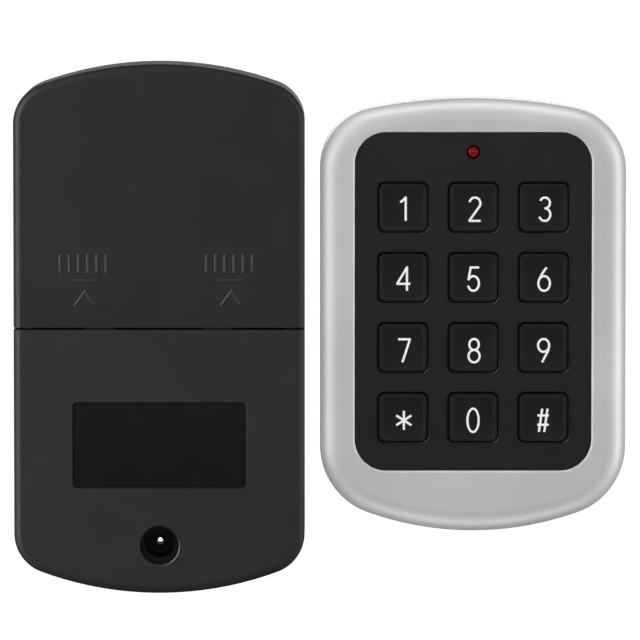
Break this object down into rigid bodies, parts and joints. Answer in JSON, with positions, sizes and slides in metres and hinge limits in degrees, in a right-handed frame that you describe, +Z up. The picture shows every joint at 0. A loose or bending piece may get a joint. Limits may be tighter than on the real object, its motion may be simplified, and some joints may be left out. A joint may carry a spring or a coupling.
{
  "type": "electronic cabinet lock",
  "caption": "Keypad cabinet lock in two housings: a black inside unit with battery bay and motor-driven bolt, and a silver keypad unit.",
  "frame": {"origin": "centre of the rear unit's outline on its mounting face, which lies against the door's inner side", "axes": "+Z up the door, +X towards the keypad unit, -Y out of the front of both units; both mounting faces lie at y = 0"},
  "size_m": [0.1243, 0.02, 0.1074],
  "materials": {
    "black_abs": "fine moulded texture, black",
    "satin_silver": "satin silver paint",
    "panel_plastic": "smooth, matte black",
    "black_cover_plastic": "moulded, matte black",
    "key_plastic": "smooth, matte black",
    "plunger_plastic": "moulded, black",
    "switch_plastic": "moulded, dark grey",
    "cell_can": "printed sleeve over a steel can, left plain",
    "spring_steel": "nickel plated",
    "pin_nickel": "bright nickel",
    "board_laminate": "green solder mask",
    "component_plastic": "moulded, black",
    "socket_nylon": "natural white nylon",
    "gear_case_acetal": "natural white acetal",
    "motor_steel": "plated steel",
    "pinion_brass": "machined",
    "bolt_steel": "satin, plated",
    "red_lens": "red diffused epoxy",
    "insert_brass": "knurled",
    "screw_steel": "zinc plated"
  },
  "bodies": {
    "root": {"rear_housing": "black_abs", "back_plate": "black_abs", "keypad_bezel": "satin_silver", "keypad_panel": "panel_plastic", "keypad_back": "black_cover_plastic", "switch_bodies": "switch_plastic", "bolt_switch": "switch_plastic", "battery_1": "cell_can", "battery_2": "cell_can", "battery_3": "cell_can", "battery_4": "cell_can", "battery_springs": "spring_steel", "battery_contacts": "spring_steel", "dc_jack_spring": "spring_steel", "dc_jack_pin": "pin_nickel", "control_board": "board_laminate", "keypad_board": "board_laminate", "board_parts": "component_plastic", "keypad_chip": "component_plastic", "buzzer": "component_plastic", "dc_jack_body": "component_plastic", "cable_socket": "socket_nylon", "keypad_socket": "socket_nylon", "gearbox": "gear_case_acetal", "bolt_guide": "gear_case_acetal", "motor_can": "motor_steel", "motor_bracket": "motor_steel", "status_light": "red_lens", "mount_inserts": "insert_brass", "case_screws": "screw_steel", "small_screws": "screw_steel"},
    "battery_cover": {"battery_cover": "black_abs"},
    "lock_bolt": {"lock_bolt": "bolt_steel"},
    "pinion": {"drive_pinion": "pinion_brass", "output_shaft": "motor_steel"},
    "key_1": {"key_1": "key_plastic", "plunger_1": "plunger_plastic"},
    "key_2": {"key_2": "key_plastic", "plunger_2": "plunger_plastic"},
    "key_3": {"key_3": "key_plastic", "plunger_3": "plunger_plastic"},
    "key_4": {"key_4": "key_plastic", "plunger_4": "plunger_plastic"},
    "key_5": {"key_5": "key_plastic", "plunger_5": "plunger_plastic"},
    "key_6": {"key_6": "key_plastic", "plunger_6": "plunger_plastic"},
    "key_7": {"key_7": "key_plastic", "plunger_7": "plunger_plastic"},
    "key_8": {"key_8": "key_plastic", "plunger_8": "plunger_plastic"},
    "key_9": {"key_9": "key_plastic", "plunger_9": "plunger_plastic"},
    "key_star": {"key_star": "key_plastic", "plunger_star": "plunger_plastic"},
    "key_0": {"key_0": "key_plastic", "plunger_0": "plunger_plastic"},
    "key_hash": {"key_hash": "key_plastic", "plunger_hash": "plunger_plastic"}
  },
  "joints": [
    {"name": "battery_cover_slide", "type": "slide", "parent": "root", "child": "battery_cover", "axis": [0, 0, 1], "range_m": [0, 0.048]},
    {"name": "bolt_slide", "type": "slide", "parent": "root", "child": "lock_bolt", "axis": [-1, 0, 0], "range_m": [0, 0.009]},
    {"name": "pinion_spin", "type": "hinge", "parent": "root", "child": "pinion", "pos_m": [-0.004, -0.0126, -0.031], "axis": [0, 0, 1], "range_deg": [0, 150]},
    {"name": "key_1_press", "type": "slide", "parent": "root", "child": "key_1", "axis": [0, 1, 0], "range_m": [0, 0.0006], "stiffness_N_per_m": 1500, "springref_m": -0.0002},
    {"name": "key_2_press", "type": "slide", "parent": "root", "child": "key_2", "axis": [0, 1, 0], "range_m": [0, 0.0006], "stiffness_N_per_m": 1500, "springref_m": -0.0002},
    {"name": "key_3_press", "type": "slide", "parent": "root", "child": "key_3", "axis": [0, 1, 0], "range_m": [0, 0.0006], "stiffness_N_per_m": 1500, "springref_m": -0.0002},
    {"name": "key_4_press", "type": "slide", "parent": "root", "child": "key_4", "axis": [0, 1, 0], "range_m": [0, 0.0006], "stiffness_N_per_m": 1500, "springref_m": -0.0002},
    {"name": "key_5_press", "type": "slide", "parent": "root", "child": "key_5", "axis": [0, 1, 0], "range_m": [0, 0.0006], "stiffness_N_per_m": 1500, "springref_m": -0.0002},
    {"name": "key_6_press", "type": "slide", "parent": "root", "child": "key_6", "axis": [0, 1, 0], "range_m": [0, 0.0006], "stiffness_N_per_m": 1500, "springref_m": -0.0002},
    {"name": "key_7_press", "type": "slide", "parent": "root", "child": "key_7", "axis": [0, 1, 0], "range_m": [0, 0.0006], "stiffness_N_per_m": 1500, "springref_m": -0.0002},
    {"name": "key_8_press", "type": "slide", "parent": "root", "child": "key_8", "axis": [0, 1, 0], "range_m": [0, 0.0006], "stiffness_N_per_m": 1500, "springref_m": -0.0002},
    {"name": "key_9_press", "type": "slide", "parent": "root", "child": "key_9", "axis": [0, 1, 0], "range_m": [0, 0.0006], "stiffness_N_per_m": 1500, "springref_m": -0.0002},
    {"name": "key_star_press", "type": "slide", "parent": "root", "child": "key_star", "axis": [0, 1, 0], "range_m": [0, 0.0006], "stiffness_N_per_m": 1500, "springref_m": -0.0002},
    {"name": "key_0_press", "type": "slide", "parent": "root", "child": "key_0", "axis": [0, 1, 0], "range_m": [0, 0.0006], "stiffness_N_per_m": 1500, "springref_m": -0.0002},
    {"name": "key_hash_press", "type": "slide", "parent": "root", "child": "key_hash", "axis": [0, 1, 0], "range_m": [0, 0.0006], "stiffness_N_per_m": 1500, "springref_m": -0.0002}
  ],
  "couplings": [
    {"joint": "pinion_spin", "follows": "bolt_slide", "rad_per_m": 285.71}
  ]
}
